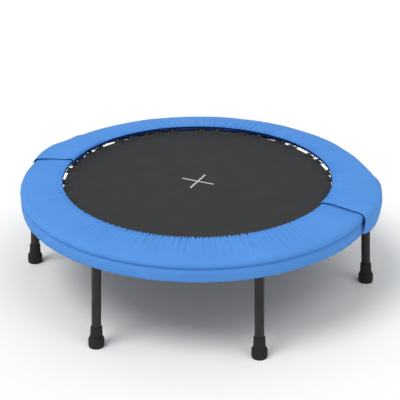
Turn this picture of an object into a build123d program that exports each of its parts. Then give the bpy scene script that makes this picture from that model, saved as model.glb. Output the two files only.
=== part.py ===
from build123d import *
import os
from math import cos, radians, sin, tan

# Folding mini trampoline. Millimetres, +Z up, origin on the floor under the centre.
# X runs along the fold axis; the rear half (+Y) stays put and the front half (-Y) folds up.

# --- driving dimensions ---
COVER_RADIUS = 457.0          # outside of the padded cover's skirt
COVER_INNER_RADIUS = 349.0    # free inner edge of the cover
COVER_INNER_HEIGHT = 279.0    # top of the cover at its inner edge
COVER_SHOULDER_HEIGHT = 271.0  # top of the padded cover over the ring tube
HINGE_SHOULDER_HEIGHT = 276.0  # and of the unpadded cloth over a hinge
SKIRT_BOTTOM = 217.0
SKIN = 2.0                    # vinyl and its backing cloth
FRAME_RADIUS = 432.0          # centreline of the ring tube
FRAME_HEIGHT = 250.0
FRAME_TUBE_R = 12.5
FRAME_WALL = 1.5
FRAME_END_GAP = 3.0           # each tube end stops this far from the fold axis
PIVOT_HEIGHT = 266.0
MAT_RADIUS = 344.0
MAT_LEVEL = 264.5
MAT_THICKNESS = 1.2
LEG_SPLAY = 3.4               # degrees, feet outwards
LEG_TUBE_R = 11.5
LEG_WALL = 1.5
REAR_LEG_ANGLES = {"rear_right": 18.0, "rear_middle": 82.0, "rear_left": 134.0}
FRONT_LEG_ANGLES = {"front_left": 198.0, "front_middle": 262.0, "front_right": 314.0}
PERIODS = 9                   # pairs of springs on each half
PERIOD = 180.0 / PERIODS
PAIR_HALF_ANGLE = 3.7         # each spring stands this far from the middle of its pair
PAD_END_ANGLE = 13.0          # foam stops here, so the halves can fold shut
SOFT_END_ANGLE = 0.4          # the unpadded ends of the cover stop here
FLAP_ANGLES = {"right": (-4.0, 27.0), "left": (162.5, 189.0)}
FLAP_LIFT = 0.6               # clearance between the cover and an overlap flap
FLAP_SKIN = 2.4


def ring_section(points):
    """A closed outline in the X-Z plane, given as radius and height."""
    return make_face(Polyline(*[(r, 0, z) for r, z in points], close=True))


def swept(section, start, end):
    """The section turned about the Z axis from one angle to another."""
    return Rot(0, 0, start) * revolve(section, Axis.Z, end - start)


def at_angle(shape, angle):
    return Rot(0, 0, angle) * shape


def half_angles(rear):
    return (0.0, 180.0) if rear else (180.0, 360.0)


def between(point_a, point_b, radius):
    """A round bar from one point to another, along its own line."""
    start, end = Vector(*point_a), Vector(*point_b)
    along = end - start
    plane = Plane(origin=start, z_dir=along)
    return plane * Cylinder(radius, along.length, align=(Align.CENTER, Align.CENTER, Align.MIN))


def group(solids):
    return Compound(children=[s for shape in solids for s in shape.solids()])


# --- ring frame ---
WELD_GAP = 0.05               # parts welded to the ring stop this far from it
RING_SOLID = Pos(0, 0, FRAME_HEIGHT) * Torus(FRAME_RADIUS, FRAME_TUBE_R + WELD_GAP)
SPRING_TUBE_HEIGHT = FRAME_HEIGHT + 5.0
SPRING_WIRE_R = 1.1
SPRING_HOLE_R = 2.4
PLUG_LENGTH = 5.0
PLUG_CLEARANCE = 0.3


def spring_angles(rear):
    first = half_angles(rear)[0]
    middles = [first + PERIOD * (k + 0.5) for k in range(PERIODS)]
    return [m + side * PAIR_HALF_ANGLE for m in middles for side in (-1, 1)]


def frame_tube(rear):
    side = 1 if rear else -1
    outer = Torus(FRAME_RADIUS, FRAME_TUBE_R)
    inner = Torus(FRAME_RADIUS, FRAME_TUBE_R - FRAME_WALL)
    reach = FRAME_RADIUS + 2 * FRAME_TUBE_R
    keep = Pos(0, side * (FRAME_END_GAP + reach / 2), 0) * Box(2 * reach, reach, 4 * FRAME_TUBE_R)
    tube = Pos(0, 0, FRAME_HEIGHT) * ((outer - inner) & keep)
    drill = between((FRAME_RADIUS - 1.5 * FRAME_TUBE_R, 0, SPRING_TUBE_HEIGHT),
                    (FRAME_RADIUS - 0.5 * FRAME_TUBE_R, 0, SPRING_TUBE_HEIGHT), SPRING_HOLE_R)
    return tube - [at_angle(drill, a) for a in spring_angles(rear)]


def tube_end_plugs(rear):
    side = 1 if rear else -1
    y_middle = side * (FRAME_END_GAP + PLUG_LENGTH / 2)
    plug = Rot(90, 0, 0) * Cylinder(FRAME_TUBE_R - FRAME_WALL - PLUG_CLEARANCE, PLUG_LENGTH)
    return group([Pos(x, y_middle, FRAME_HEIGHT) * plug for x in (-FRAME_RADIUS, FRAME_RADIUS)])


# --- hinges: a wide bracket on one half straddles a narrow one on the other ---
PLATE = 2.5
BRACKET_START = 3.0           # distance of the bracket's near end from the fold axis
BRACKET_END = 32.0
BRACKET_FLOOR = FRAME_HEIGHT - FRAME_TUBE_R - 0.1
NARROW_INNER = FRAME_TUBE_R + 0.2
WIDE_INNER = NARROW_INNER + PLATE + 0.8
EAR_R = 6.0
SLEEVE_R = 4.2
BOLT_R = 3.0
RUNNING_FIT = 0.05


def bracket(inner_half_width, y_side):
    """A U of plate under and beside the tube, at the right-hand hinge."""
    low = BRACKET_FLOOR - PLATE
    flank = EAR_R * sin(radians(45))
    side_view = [(BRACKET_START, low), (BRACKET_END, low), (BRACKET_END, FRAME_HEIGHT),
                 (flank, PIVOT_HEIGHT + flank), (-flank, PIVOT_HEIGHT - flank),
                 (BRACKET_START, FRAME_HEIGHT + BRACKET_START)]
    outline = make_face(Polyline(*[(0, y, z) for y, z in side_view], close=True))
    ear = Pos(0, 0, PIVOT_HEIGHT) * Rot(0, 90, 0) * Cylinder(EAR_R, PLATE)
    hole = Pos(0, 0, PIVOT_HEIGHT) * Rot(0, 90, 0) * Cylinder(BOLT_R + RUNNING_FIT, 3 * PLATE)
    plate = Pos(-PLATE / 2, 0, 0) * extrude(outline, PLATE, dir=(1, 0, 0)) + ear - hole
    middle = inner_half_width + PLATE / 2
    width = 2 * (inner_half_width + PLATE)
    floor_length = BRACKET_END - BRACKET_START
    floor_middle = (BRACKET_END + BRACKET_START) / 2
    floor_plate = Pos(0, floor_middle, BRACKET_FLOOR - PLATE / 2) * Box(width, floor_length, PLATE)
    body = Pos(-middle, 0, 0) * plate + Pos(middle, 0, 0) * plate + floor_plate
    if y_side < 0:
        body = mirror(body, Plane.XZ)
    return Pos(FRAME_RADIUS, 0, 0) * body - RING_SOLID


HINGE_FACE = WIDE_INNER + PLATE          # outer face of the wide bracket, from the tube's centreline
WASHER = 1.0
WASHER_R = 6.0
HEAD = 2.4
HEAD_R = 5.0
HEAD_ROUNDING = 0.8
KEY_R = 2.0                   # hexagon socket in the bolt's head
KEY_DEPTH = 1.6
NUT = 4.5
NUT_R = 5.77                  # across the corners
BOLT_STUB = 1.5               # bolt end beyond the nut


def along_pivot(radius, x_from, x_to):
    length = x_to - x_from
    return Pos(FRAME_RADIUS + x_from + length / 2, 0, PIVOT_HEIGHT) * Rot(0, 90, 0) * Cylinder(radius, length)


def hinge_bolt():
    shank = along_pivot(BOLT_R, -HINGE_FACE - WASHER - NUT - BOLT_STUB, HINGE_FACE)
    head = along_pivot(HEAD_R, HINGE_FACE, HINGE_FACE + HEAD)
    key = extrude(RegularPolygon(KEY_R, 6), HEAD)
    recess = Pos(FRAME_RADIUS + HINGE_FACE + HEAD - KEY_DEPTH, 0, PIVOT_HEIGHT) * Rot(0, 90, 0) * key
    return shank + fillet(head.edges().group_by(Axis.X)[-1], HEAD_ROUNDING) - recess


def hinge_nut():
    start = -HINGE_FACE - WASHER - NUT
    prism = extrude(RegularPolygon(NUT_R, 6), NUT)
    body = Pos(FRAME_RADIUS + start, 0, PIVOT_HEIGHT) * Rot(0, 90, 0) * prism
    return body - along_pivot(BOLT_R, start - 1, start + NUT + 1)


def hinge_washer():
    return (along_pivot(WASHER_R, -HINGE_FACE - WASHER, -HINGE_FACE)
            - along_pivot(BOLT_R, -HINGE_FACE - 2 * WASHER, -HINGE_FACE + WASHER))


def hinge_sleeve():
    return (along_pivot(SLEEVE_R, -NARROW_INNER, NARROW_INNER)
            - along_pivot(BOLT_R + RUNNING_FIT, -WIDE_INNER, WIDE_INNER))


# --- legs, built hanging from the centre of the ring tube and then leaned out ---
SOCKET_R = 14.5
SOCKET_BORE_R = LEG_TUBE_R + 0.5
SOCKET_START = 8.0            # the socket's top is coped to the ring tube, so it starts inside it
SOCKET_END = FRAME_TUBE_R + 15.0
LEG_TOP = FRAME_TUBE_R + 2.5
STUD_R = 5.0
STUD_START = 10.0
STUD_END = 34.0
FOOT_TOP = 53.0               # height of the rubber sleeve's lip above the floor
FOOT_STEP = 25.0              # height of the wider base
SLEEVE_TOP_R = 14.0
SLEEVE_BOTTOM_R = 15.2
BASE_R = 19.3
BASE_RIM = 6.0                # the base is at its widest from here to as far below the step
FOOT_ROUNDING = 1.5
LIP_CHAMFER = 0.6             # at the sleeve's mouth
FOOT_FLOOR = 6.0              # rubber under the tube's end
AXIS_LENGTH = FRAME_HEIGHT / cos(radians(LEG_SPLAY))
FOOT_CENTRE_R = FRAME_RADIUS + FRAME_HEIGHT * tan(radians(LEG_SPLAY))


def down(radius, t_from, t_to):
    """A cylinder along the leg's own axis, measured downwards from the ring tube's centre."""
    return Pos(0, 0, -(t_from + t_to) / 2) * Cylinder(radius, t_to - t_from)


def place_leg(shape, angle):
    leaned = Rot(0, -LEG_SPLAY, 0) * shape
    return Rot(0, 0, angle) * (Pos(FRAME_RADIUS, 0, FRAME_HEIGHT) * leaned)


def leg_socket(angle):
    sleeve = down(SOCKET_R, SOCKET_START, SOCKET_END) - down(SOCKET_BORE_R, SOCKET_START - 1, SOCKET_END + 1)
    return place_leg(sleeve, angle) - RING_SOLID


def leg_stud(angle):
    return place_leg(down(STUD_R, STUD_START, STUD_END), angle) - RING_SOLID


def leg_tube(angle):
    end = AXIS_LENGTH - FOOT_FLOOR
    tube = down(LEG_TUBE_R, LEG_TOP, end) - down(LEG_TUBE_R - LEG_WALL, LEG_TOP - 1, end + 1)
    return place_leg(tube, angle)


def leg_top_plug(angle):
    plug = down(LEG_TUBE_R - LEG_WALL, LEG_TOP, STUD_END) - down(STUD_R, LEG_TOP - 1, STUD_END + 1)
    return place_leg(plug, angle)


def foot(angle):
    bore = LEG_TUBE_R
    low = -3.0                # carried past the floor, then cut flat
    outline = [(0, low), (BASE_R - FOOT_ROUNDING, low), (BASE_R, BASE_RIM), (BASE_R, FOOT_STEP - BASE_RIM),
               (BASE_R - FOOT_ROUNDING, FOOT_STEP - FOOT_ROUNDING), (SLEEVE_BOTTOM_R, FOOT_STEP),
               (SLEEVE_TOP_R, FOOT_TOP - FOOT_ROUNDING), (SLEEVE_TOP_R - LIP_CHAMFER, FOOT_TOP),
               (bore + LIP_CHAMFER, FOOT_TOP), (bore, FOOT_TOP - LIP_CHAMFER), (bore, FOOT_FLOOR), (0, FOOT_FLOOR)]
    points = [(r, 0, h - AXIS_LENGTH) for r, h in outline]
    boot = revolve(make_face(Polyline(*points, close=True)), Axis.Z, 360)
    below = Pos(0, 0, -50) * Box(3 * FRAME_RADIUS, 3 * FRAME_RADIUS, 100)
    return place_leg(boot, angle) - below


# --- mat, its hem, tabs, rings and springs ---
HEM_WIDTH = 22.0
HEM = 0.8
WEB = 1.0
MAT_HALF_GAP = 0.75
RING_WIRE_R = 1.5
RING_BASE_R = MAT_RADIUS + 4.0
RING_TOP_R = RING_BASE_R + 15.0
RING_BASE_HALF = 15.5
RING_TOP_HALF = 4.0
TAB_HALF_WIDTH = 11.0
TAB_INNER_R = MAT_RADIUS - 14.0
TAB_NOSE_R = MAT_RADIUS + 7.0
COIL_R = 4.2
COIL_INNER_R = 2.4
COIL_START_R = RING_TOP_R + 8.0
COIL_END_R = 412.0
COIL_CAP = 2.0                # the coil closes in over this length at each end
HOOK_R = 3.2
HOOK_TIP_R = 424.0
HOOK_DROP = 5.0


def half_space(rear, gap):
    side = 1 if rear else -1
    reach = 2 * MAT_RADIUS
    return Pos(0, side * (gap + reach / 2), MAT_LEVEL) * Box(2 * reach, reach, reach)


def mat(rear):
    return Pos(0, 0, MAT_LEVEL) * Cylinder(MAT_RADIUS, MAT_THICKNESS) & half_space(rear, MAT_HALF_GAP)


def mat_hem(rear):
    half = MAT_THICKNESS / 2
    inner, outer = MAT_RADIUS - HEM_WIDTH, MAT_RADIUS + HEM
    outline = [(inner, half), (MAT_RADIUS, half), (MAT_RADIUS, -half), (inner, -half), (inner, -half - HEM),
               (outer, -half - HEM), (outer, half + HEM), (inner, half + HEM)]
    section = ring_section([(r, MAT_LEVEL + h) for r, h in outline])
    return swept(section, 0, 360) & half_space(rear, MAT_HALF_GAP)


def mat_tab():
    """A webbing loop sewn over the hem at angle 0, with the ring's base wire through its nose."""
    inside = MAT_THICKNESS / 2 + HEM
    outside = inside + WEB
    edge = MAT_RADIUS + HEM
    outline = [(TAB_INNER_R, inside), (edge, inside), (edge, -inside), (TAB_INNER_R, -inside),
               (TAB_INNER_R, -outside), (TAB_NOSE_R, -outside), (TAB_NOSE_R, outside), (TAB_INNER_R, outside)]
    face = make_face(Polyline(*[(r, -TAB_HALF_WIDTH, MAT_LEVEL + h) for r, h in outline], close=True))
    block = extrude(face, 2 * TAB_HALF_WIDTH, dir=(0, 1, 0))
    reach = 2 * TAB_HALF_WIDTH
    wire = between((RING_BASE_R, -reach, MAT_LEVEL), (RING_BASE_R, reach, MAT_LEVEL), RING_WIRE_R + 0.05)
    return block - wire - Pos(0, 0, MAT_LEVEL) * Cylinder(edge, 2 * inside)


def wire_ring():
    corners = [(RING_BASE_R, -RING_BASE_HALF), (RING_BASE_R, RING_BASE_HALF),
               (RING_TOP_R, RING_TOP_HALF), (RING_TOP_R, -RING_TOP_HALF)]
    points = [(x, y, MAT_LEVEL) for x, y in corners]
    ring = None
    for start, end in zip(points, points[1:] + points[:1]):
        bar = between(start, end, RING_WIRE_R) + Pos(*start) * Sphere(RING_WIRE_R)
        ring = bar if ring is None else ring + bar
    return ring


def spring():
    """Coil body as a sleeve, a closed hook round the wire ring and a bent tail in the tube's hole."""
    def point(radius):
        share = (radius - RING_TOP_R) / (HOOK_TIP_R - RING_TOP_R)
        return (radius, 0, MAT_LEVEL + share * (SPRING_TUBE_HEIGHT - MAT_LEVEL))
    coil = between(point(COIL_START_R), point(COIL_END_R), COIL_R)
    coil -= between(point(COIL_START_R + COIL_CAP), point(COIL_END_R - COIL_CAP), COIL_INNER_R)
    eye = Pos(*point(RING_TOP_R)) * Rot(90, 0, 0) * Torus(HOOK_R, SPRING_WIRE_R)
    neck = between(point(RING_TOP_R + HOOK_R), point(COIL_START_R + 1), SPRING_WIRE_R)
    tail = between(point(COIL_END_R - 1), point(HOOK_TIP_R), SPRING_WIRE_R)
    tip_x, _, tip_z = point(HOOK_TIP_R)
    bend = between((tip_x, 0, tip_z), (tip_x, 0, tip_z - HOOK_DROP), SPRING_WIRE_R)
    return coil + eye + neck + tail + bend + Pos(tip_x, 0, tip_z) * Sphere(SPRING_WIRE_R)


# --- padded cover ---
SHOULDER_R = 17.0             # rounding of the padded cover over the ring tube
PADDED_SHOULDER = (SHOULDER_R, COVER_SHOULDER_HEIGHT)
HINGE_SHOULDER = (9.0, HINGE_SHOULDER_HEIGHT)          # squarer where the cloth goes over a hinge
INNER_LIP = 3.0
INNER_DEPTH = 10.5            # the cover's inner edge hangs this far
SKIRT_LEAN = 4.0              # the skirt draws in this far towards its hem
FLAP_LEAN = 2.0
FOAM_GAP = 0.4
FOAM_SETBACK = 9.0            # from the cover's inner edge
FOAM_INNER_FLOOR = 270.2      # underside of the foam above the springs
FOAM_TUBE_GAP = 0.7           # between the foam and the ring tube
FOAM_SLOPE_START = 417.0      # the underside climbs from this radius inwards, over the springs
ELASTIC_R = 1.5
ELASTIC_RISE = 2.5            # above the skirt's lower edge


def cover_section(offset, bottom, shoulder, skin=SKIN, lean=SKIRT_LEAN, inner_return=True):
    """Skin from the skirt's hem over a shoulder, given as (radius, height), to the inner edge."""
    shoulder_r, shoulder_height = shoulder
    centre = (COVER_RADIUS - shoulder_r, shoulder_height - shoulder_r)

    def line(grow):
        """The skin's surface, moved outwards by grow, from the skirt's hem to the inner edge."""
        radius = shoulder_r + grow
        arc = [(centre[0] + radius * cos(radians(a)), centre[1] + radius * sin(radians(a)))
               for a in range(0, 91, 15)]
        crest = (COVER_INNER_RADIUS + INNER_LIP, COVER_INNER_HEIGHT + grow)
        edge = COVER_INNER_RADIUS - grow
        inner = [(edge, COVER_INNER_HEIGHT - INNER_LIP), (edge, COVER_INNER_HEIGHT - INNER_DEPTH)]
        return [(COVER_RADIUS - lean + grow, bottom)] + arc + [crest] + (inner if inner_return else [])
    return ring_section(line(offset + skin) + line(offset)[::-1])


def cover(rear):
    start, end = half_angles(rear)
    section = cover_section(-SKIN, SKIRT_BOTTOM, PADDED_SHOULDER)
    return swept(section, start + PAD_END_ANGLE, end - PAD_END_ANGLE)


def cover_soft_ends(rear):
    start, end = half_angles(rear)
    section = cover_section(-SKIN, SKIRT_BOTTOM, HINGE_SHOULDER)
    return group([swept(section, start + SOFT_END_ANGLE, start + PAD_END_ANGLE),
                  swept(section, end - PAD_END_ANGLE, end - SOFT_END_ANGLE)])


def foam(rear):
    start, end = half_angles(rear)
    inner = COVER_INNER_RADIUS + FOAM_SETBACK
    outer = FRAME_RADIUS + FRAME_TUBE_R
    roof = SKIN + FOAM_GAP
    over_tube = FRAME_HEIGHT + FRAME_TUBE_R + FOAM_TUBE_GAP
    outline = [(inner, FOAM_INNER_FLOOR), (FOAM_SLOPE_START, over_tube), (outer, over_tube),
               (outer, COVER_SHOULDER_HEIGHT - roof - 1), (FRAME_RADIUS, COVER_SHOULDER_HEIGHT - roof),
               (inner + INNER_LIP, COVER_INNER_HEIGHT - roof - 0.5),
               (inner, COVER_INNER_HEIGHT - roof - INNER_LIP)]
    return swept(ring_section(outline), start + PAD_END_ANGLE, end - PAD_END_ANGLE)


def skirt_elastic(rear):
    start, end = half_angles(rear)
    centre = COVER_RADIUS - SKIRT_LEAN - SKIN - ELASTIC_R - 0.2
    section = Pos(centre, 0, SKIRT_BOTTOM + ELASTIC_RISE) * Rot(90, 0, 0) * Circle(ELASTIC_R)
    return swept(section, start + PAD_END_ANGLE, end - PAD_END_ANGLE)


def overlap_flap(side):
    start, end = FLAP_ANGLES[side]
    section = cover_section(FLAP_LIFT, SKIRT_BOTTOM + 2, HINGE_SHOULDER, FLAP_SKIN, FLAP_LEAN, False)
    return swept(section, start, end)


# --- the nodes ---
def half_nodes(rear):
    name = "rear" if rear else "front"
    legs = REAR_LEG_ANGLES if rear else FRONT_LEG_ANGLES
    nodes = {
        f"frame_tube_{name}": frame_tube(rear),
        f"tube_end_plugs_{name}": tube_end_plugs(rear),
        f"leg_sockets_{name}": group([leg_socket(a) for a in legs.values()]),
        f"leg_studs_{name}": group([leg_stud(a) for a in legs.values()]),
        f"leg_top_plugs_{name}": group([leg_top_plug(a) for a in legs.values()]),
        f"mat_{name}": mat(rear),
        f"mat_hem_{name}": mat_hem(rear),
        f"mat_tabs_{name}": group([at_angle(mat_tab(), a) for a in spring_angles(rear)]),
        f"wire_rings_{name}": group([at_angle(wire_ring(), a) for a in spring_angles(rear)]),
        f"springs_{name}": group([at_angle(spring(), a) for a in spring_angles(rear)]),
        f"cover_{name}": cover(rear),
        f"cover_soft_ends_{name}": cover_soft_ends(rear),
        f"cover_foam_{name}": foam(rear),
        f"skirt_elastic_{name}": skirt_elastic(rear),
    }
    for leg, angle in legs.items():
        nodes[f"leg_tube_{leg}"] = leg_tube(angle)
        nodes[f"foot_{leg}"] = foot(angle)
    return nodes


def hinge_nodes():
    """The right-hand hinge as modelled, and the left-hand one as the same turned half round."""
    nodes = {}
    for side, turn, wide_half, narrow_half in (("right", 0, "rear", "front"), ("left", 180, "front", "rear")):
        nodes[f"hinge_bracket_wide_{wide_half}_{side}"] = at_angle(bracket(WIDE_INNER, 1), turn)
        nodes[f"hinge_bracket_narrow_{narrow_half}_{side}"] = at_angle(bracket(NARROW_INNER, -1), turn)
        nodes[f"hinge_bolt_{side}"] = at_angle(hinge_bolt(), turn)
        nodes[f"hinge_nut_{side}"] = at_angle(hinge_nut(), turn)
        nodes[f"hinge_washer_{side}"] = at_angle(hinge_washer(), turn)
        nodes[f"hinge_sleeve_{side}"] = at_angle(hinge_sleeve(), turn)
    return nodes


def main():
    os.makedirs("parts", exist_ok=True)
    nodes = half_nodes(True) | half_nodes(False) | hinge_nodes()
    for side in FLAP_ANGLES:
        nodes[f"overlap_flap_{side}"] = overlap_flap(side)
    for name, shape in nodes.items():
        export_step(shape, f"parts/{name}.step")
    print(len(nodes), "nodes; foot centre radius", round(FOOT_CENTRE_R, 2))


main()
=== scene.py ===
from math import cos, hypot, pi, radians, sin

import bmesh
import bpy
import numpy as np
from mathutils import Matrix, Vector


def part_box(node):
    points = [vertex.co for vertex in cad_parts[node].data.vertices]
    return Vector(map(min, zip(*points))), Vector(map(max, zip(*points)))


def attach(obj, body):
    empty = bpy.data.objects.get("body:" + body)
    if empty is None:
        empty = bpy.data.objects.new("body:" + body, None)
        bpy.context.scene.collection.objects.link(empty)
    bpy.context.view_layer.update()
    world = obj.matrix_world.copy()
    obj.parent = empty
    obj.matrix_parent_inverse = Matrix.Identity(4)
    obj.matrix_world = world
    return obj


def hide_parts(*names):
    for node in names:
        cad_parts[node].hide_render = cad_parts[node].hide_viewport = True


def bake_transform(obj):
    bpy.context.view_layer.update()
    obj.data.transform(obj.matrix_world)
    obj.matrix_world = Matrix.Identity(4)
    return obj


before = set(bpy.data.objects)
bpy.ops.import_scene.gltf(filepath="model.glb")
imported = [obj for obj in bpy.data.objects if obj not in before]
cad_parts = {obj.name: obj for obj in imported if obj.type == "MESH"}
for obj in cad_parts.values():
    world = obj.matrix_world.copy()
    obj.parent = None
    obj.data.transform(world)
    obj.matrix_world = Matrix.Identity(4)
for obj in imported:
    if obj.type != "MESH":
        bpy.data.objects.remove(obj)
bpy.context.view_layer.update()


# --- camera ---
CAMERA_AZIMUTH = radians(25.0)
CAMERA_REACH = 2.7975         # along the floor, from the Z axis
CAMERA_HEIGHT = 1.5261
CAMERA_PITCH = radians(25.2)  # below the horizon
CAMERA_LENS = 106.65          # millimetres, as is the sensor
CAMERA_SENSOR = 36.0
CAMERA_SHIFT = 0.0054         # sideways, as a share of the view


def make_camera():
    """The scene's one camera, in front and to the right."""
    camera = bpy.data.objects.new("camera", bpy.data.cameras.new("camera"))
    bpy.context.scene.collection.objects.link(camera)
    camera.data.lens = CAMERA_LENS
    camera.data.sensor_width = CAMERA_SENSOR
    camera.data.shift_x = CAMERA_SHIFT
    out = CAMERA_REACH * sin(CAMERA_AZIMUTH), -CAMERA_REACH * cos(CAMERA_AZIMUTH)
    camera.location = (*out, CAMERA_HEIGHT)
    camera.rotation_euler = (pi / 2 - CAMERA_PITCH, 0, CAMERA_AZIMUTH)
    bpy.context.scene.camera = camera


make_camera()


# --- sizes read from the frame ---
def ring_span(node):
    """The least and the greatest distance of a CAD node's points from the Z axis."""
    reach = [hypot(v.co.x, v.co.y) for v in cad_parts[node].data.vertices]
    return min(reach), max(reach)


COVER_IN, COVER_OUT = ring_span("cover_rear")
HEM_Z, TOP_Z = (corner.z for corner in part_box("cover_rear"))
MAT_R = ring_span("mat_rear")[1]
MAT_LOW, MAT_HIGH = (corner.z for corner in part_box("mat_rear"))
MAT_Z = (MAT_LOW + MAT_HIGH) / 2
TUBE_IN, TUBE_OUT = ring_span("frame_tube_rear")
TUBE_LOW, TUBE_HIGH = (corner.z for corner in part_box("frame_tube_rear"))
BAND_IN, BAND_OUT = ring_span("mat_hem_rear")
BAND_LOW, BAND_HIGH = (corner.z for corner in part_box("mat_hem_rear"))
TAB_IN = ring_span("mat_tabs_rear")[0]
TAB_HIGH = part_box("mat_tabs_rear")[1].z
WIRE_IN, WIRE_OUT = ring_span("wire_rings_rear")
WIRE_LOW, WIRE_HIGH = (corner.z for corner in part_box("wire_rings_rear"))
WIRE_R = (WIRE_HIGH - WIRE_LOW) / 2

HALVES = {"rear": (0.0, 180.0), "front": (180.0, 360.0)}
PERIODS = 9                   # pairs of springs on each half
PAIR_HALF_ANGLE = 3.7         # degrees from a pair's middle to each of its springs


def spring_angles(half):
    """Where a half's springs stand, in pairs, in radians from the fold's right end."""
    start, end = HALVES[half]
    period = (end - start) / PERIODS
    middles = [start + period * (k + 0.5) for k in range(PERIODS)]
    return [radians(m + side * PAIR_HALF_ANGLE) for m in middles for side in (-1, 1)]


# --- materials ---
MIX_SHARE, MIX_FIRST, MIX_SECOND, MIX_COLOUR = 0, 6, 7, 2      # a colour Mix node's sockets


class Finish:
    """A Principled material, with a short call for each kind of node that it is built from."""

    def __init__(self, name, roughness, metallic=0.0, specular=0.5):
        self.material = bpy.data.materials.new(name)
        self.material.use_nodes = True
        self.nodes = self.material.node_tree.nodes
        self.links = self.material.node_tree.links
        self.shader = self.nodes["Principled BSDF"]
        self.shader.inputs["Roughness"].default_value = roughness
        self.shader.inputs["Metallic"].default_value = metallic
        self.shader.inputs["Specular IOR Level"].default_value = specular

    def place(self, on_uv):
        source = self.nodes.new("ShaderNodeTexCoord")
        return source.outputs["UV" if on_uv else "Object"]

    def noise(self, place, scale, detail=3.0, stretch=(1, 1, 1)):
        mapping = self.nodes.new("ShaderNodeMapping")
        mapping.inputs["Scale"].default_value = stretch
        self.links.new(place, mapping.inputs["Vector"])
        texture = self.nodes.new("ShaderNodeTexNoise")
        texture.inputs["Scale"].default_value = scale
        texture.inputs["Detail"].default_value = detail
        self.links.new(mapping.outputs["Vector"], texture.inputs["Vector"])
        return texture.outputs["Fac"]

    def cells(self, place, scale):
        texture = self.nodes.new("ShaderNodeTexVoronoi")
        texture.inputs["Scale"].default_value = scale
        self.links.new(place, texture.inputs["Vector"])
        return texture.outputs["Distance"]

    def calc(self, operation, *values):
        node = self.nodes.new("ShaderNodeMath")
        node.operation = operation
        for value, socket in zip(values, node.inputs):
            if isinstance(value, (int, float)):
                socket.default_value = value
            else:
                self.links.new(value, socket)
        return node.outputs[0]

    def span(self, value, low, high, from_low=0.3, from_high=0.7):
        """The value, from from_low to from_high, carried to low to high and held there."""
        node = self.nodes.new("ShaderNodeMapRange")
        node.inputs["From Min"].default_value = from_low
        node.inputs["From Max"].default_value = from_high
        node.inputs["To Min"].default_value = low
        node.inputs["To Max"].default_value = high
        self.links.new(value, node.inputs["Value"])
        return node.outputs["Result"]

    def axes(self, place):
        node = self.nodes.new("ShaderNodeSeparateXYZ")
        self.links.new(place, node.inputs["Vector"])
        return node.outputs

    def weave(self, place, pitch_across, pitch_along):
        """A plain weave: threads that cross over and under at the given pitches, in metres."""
        across, along, _ = self.axes(place)
        waves = [self.calc("SINE", self.calc("MULTIPLY", axis, pi / pitch))
                 for axis, pitch in ((across, pitch_across), (along, pitch_along))]
        return self.calc("MULTIPLY", *waves)

    def mix(self, share, first, second):
        node = self.nodes.new("ShaderNodeMix")
        node.data_type = "RGBA"
        for value, socket in ((first, node.inputs[MIX_FIRST]), (second, node.inputs[MIX_SECOND])):
            if isinstance(value, tuple):
                socket.default_value = (*value, 1)
            else:
                self.links.new(value, socket)
        self.links.new(share, node.inputs[MIX_SHARE])
        return node.outputs[MIX_COLOUR]

    def colour(self, source):
        self.links.new(source, self.shader.inputs["Base Color"])

    def roughness(self, source):
        self.links.new(source, self.shader.inputs["Roughness"])

    def bump(self, *layers):
        """Bump from layers of (height, depth in metres), the coarsest first."""
        normal = None
        for height, depth in layers:
            node = self.nodes.new("ShaderNodeBump")
            node.inputs["Distance"].default_value = depth
            self.links.new(height, node.inputs["Height"])
            if normal:
                self.links.new(normal, node.inputs["Normal"])
            normal = node.outputs["Normal"]
        self.links.new(normal, self.shader.inputs["Normal"])


def vinyl(name, light, dark, gloss):
    """PVC-coated cloth: a fine cloth grain under a soft sheen, and colour that drifts a little."""
    finish = Finish(name, gloss, specular=0.06)
    place = finish.place(on_uv=True)
    drift = finish.noise(place, 9.0, 4.0)
    weave = finish.weave(place, 0.0011, 0.0011)
    finish.colour(finish.mix(finish.span(drift, 0, 1), light, dark))
    finish.roughness(finish.span(finish.noise(place, 60.0), gloss - 0.05, gloss + 0.08))
    finish.bump((finish.noise(place, 90.0, 5.0), 0.0006), (weave, 0.00006))
    return finish.material


def thread(name, colour):
    """Twisted sewing thread."""
    finish = Finish(name, 0.7, specular=0.3)
    place = finish.place(on_uv=False)
    finish.colour(finish.mix(finish.noise(place, 400.0), colour, tuple(0.7 * c for c in colour)))
    finish.bump((finish.noise(place, 900.0), 0.0002))
    return finish.material


CROSS_REACH = 0.045           # from the mat's middle to the end of each bar
CROSS_HALF_WIDTH = 0.0025


def mat_cloth():
    """Tight woven polypropylene, with a plain pale cross printed at the middle."""
    finish = Finish("mat_weave", 0.62, specular=0.2)
    place = finish.place(on_uv=True)
    weave = finish.weave(place, 0.0016, 0.0022)
    drift = finish.noise(place, 14.0, 5.0)
    threads = finish.noise(place, 60.0, 4.0, (1, 14, 1))
    base = finish.mix(finish.span(drift, 0, 1), (0.027, 0.027, 0.0275), (0.031, 0.031, 0.0315))
    base = finish.mix(finish.span(threads, 0, 0.35), base, (0.0225, 0.0225, 0.023))
    base = finish.mix(finish.span(weave, 0, 0.5, -0.6, 0.8), base, (0.037, 0.037, 0.038))
    across, along = (finish.calc("ABSOLUTE", axis) for axis in finish.axes(place)[:2])
    bars = [finish.calc("MULTIPLY", finish.calc("LESS_THAN", a, CROSS_REACH),
                        finish.calc("LESS_THAN", b, CROSS_HALF_WIDTH))
            for a, b in ((across, along), (along, across))]
    ink = finish.calc("MULTIPLY", finish.calc("MAXIMUM", *bars), finish.span(weave, 0.75, 0.95, -0.8, 0.4))
    finish.colour(finish.mix(ink, base, (0.62, 0.62, 0.62)))
    finish.roughness(finish.span(drift, 0.55, 0.7))
    finish.bump((drift, 0.0006), (weave, 0.00025))
    return finish.material


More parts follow.
